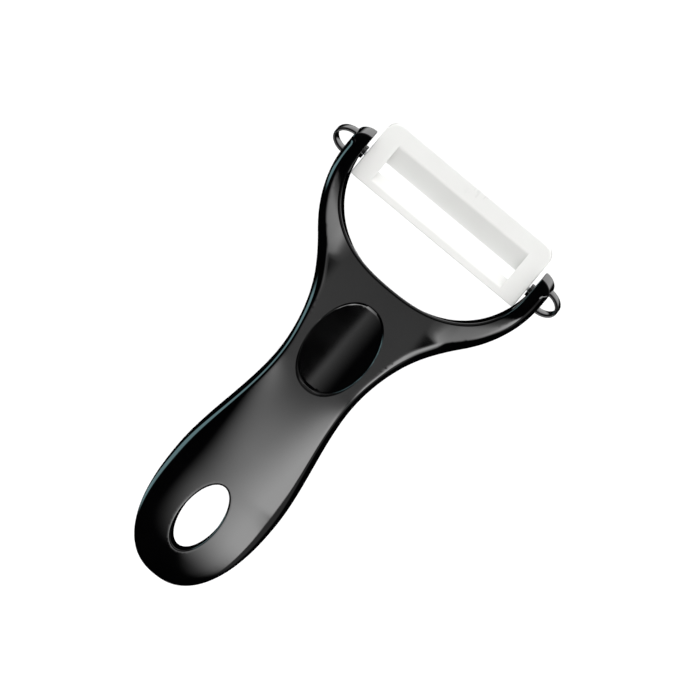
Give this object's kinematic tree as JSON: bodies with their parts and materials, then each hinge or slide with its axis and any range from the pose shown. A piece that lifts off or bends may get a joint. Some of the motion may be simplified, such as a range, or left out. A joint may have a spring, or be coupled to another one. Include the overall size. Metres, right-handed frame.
{
  "type": "vegetable peeler",
  "caption": "Y-shaped peeler: a one-piece gloss plastic handle with a thumb rest and a hanging hole, and a slotted ceramic blade that swings between its arms.",
  "frame": {"origin": "on the flat underside, in the plane of symmetry, below the web between the arms", "axes": "+X across the arms, +Y along the handle towards the blade, +Z out of the thumb side"},
  "size_m": [0.0732, 0.1358, 0.0083],
  "materials": {
    "handle_plastic": "black moulded ABS, polished",
    "blade_ceramic": "white zirconia, satin with ground bevels",
    "pin_steel": "drawn stainless steel"
  },
  "bodies": {
    "handle": {"handle": "handle_plastic"},
    "blade": {"blade": "blade_ceramic", "pivot_pin_left": "pin_steel", "pivot_pin_right": "pin_steel"}
  },
  "joints": [
    {"name": "blade_swing", "type": "hinge", "parent": "handle", "child": "blade", "pos_m": [0, 0.03117, 0.00385], "axis": [1, 0, 0], "range_deg": [-30, 30]}
  ]
}
